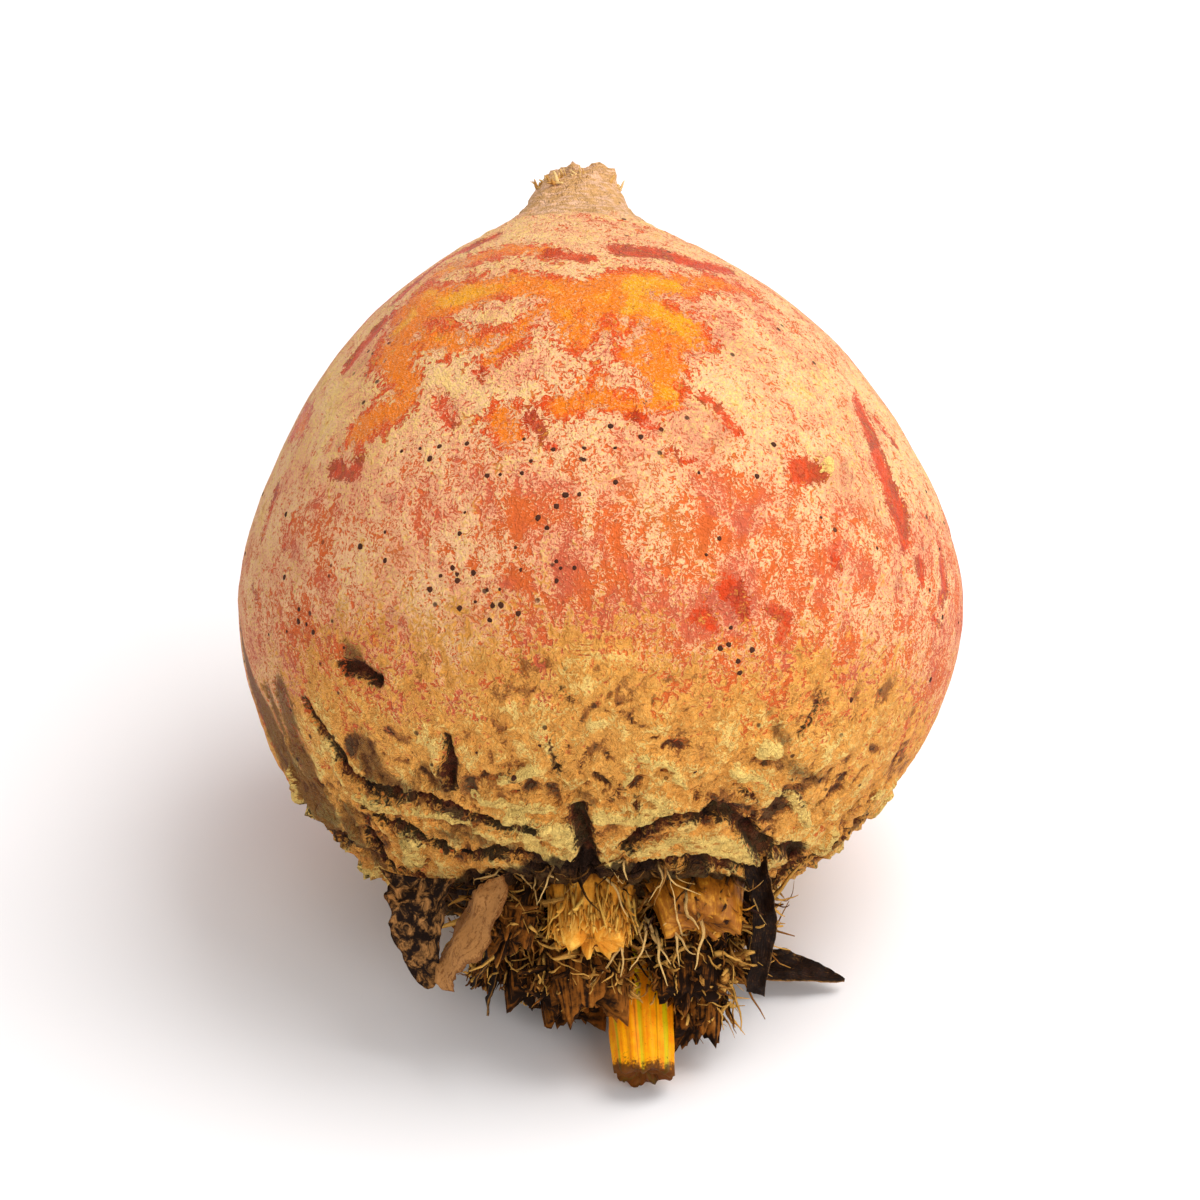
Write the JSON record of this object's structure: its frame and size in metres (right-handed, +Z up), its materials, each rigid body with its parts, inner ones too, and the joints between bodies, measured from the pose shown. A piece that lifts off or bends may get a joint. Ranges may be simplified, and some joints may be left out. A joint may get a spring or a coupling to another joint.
{
  "type": "beetroot",
  "caption": "Round golden-skinned beetroot lying on its crown side, tap root broken short, with torn leaf stalk stubs and dried leaf scraps at the crown.",
  "frame": {"origin": "centre of the small flat spot that the root rests on", "axes": "+Z up, out of the surface it rests on; -Y towards the crown end, whose stalk stubs point forward and down; +Y towards the tap root, which points back and up; +X to the right seen from the crown end"},
  "size_m": [0.0753, 0.0771, 0.0717],
  "materials": {
    "root_skin": "thin waxy orange skin under pale salmon scurf, corky and cracked towards the crown",
    "fresh_golden_stalk": "smooth ribbed fresh stalk, glossy yellow and orange",
    "torn_golden_stalk": "torn dry golden fibres",
    "dried_amber_stalk": "dried amber stalk, slightly glossy",
    "old_brown_stalk": "dry brown fibrous stalk base",
    "papery_leaf_base": "dry papery leaf base, tan outside and near black inside",
    "dried_dark_leaf": "dried wrinkled leaf, near black"
  },
  "bodies": {
    "root": {"beet_root": "root_skin", "stalk_stub_golden": "fresh_golden_stalk", "stalk_stub_torn": "torn_golden_stalk", "stalk_stub_amber": "dried_amber_stalk", "stalk_stub_old_1": "old_brown_stalk", "stalk_stub_old_2": "old_brown_stalk", "stalk_stub_old_3": "old_brown_stalk", "stalk_stub_old_4": "old_brown_stalk", "stalk_stub_old_5": "old_brown_stalk", "stalk_stub_old_6": "old_brown_stalk", "stalk_stub_old_7": "old_brown_stalk", "stalk_stub_old_8": "old_brown_stalk", "stalk_stub_old_9": "old_brown_stalk", "stalk_stub_old_10": "old_brown_stalk", "stalk_stub_old_11": "old_brown_stalk", "leaf_scale_left": "papery_leaf_base", "leaf_strip_right": "dried_dark_leaf", "leaf_tip_right": "dried_dark_leaf", "leaf_scrap_1": "dried_dark_leaf", "leaf_scrap_2": "dried_dark_leaf", "leaf_scrap_3": "dried_dark_leaf"}
  },
  "joints": []
}
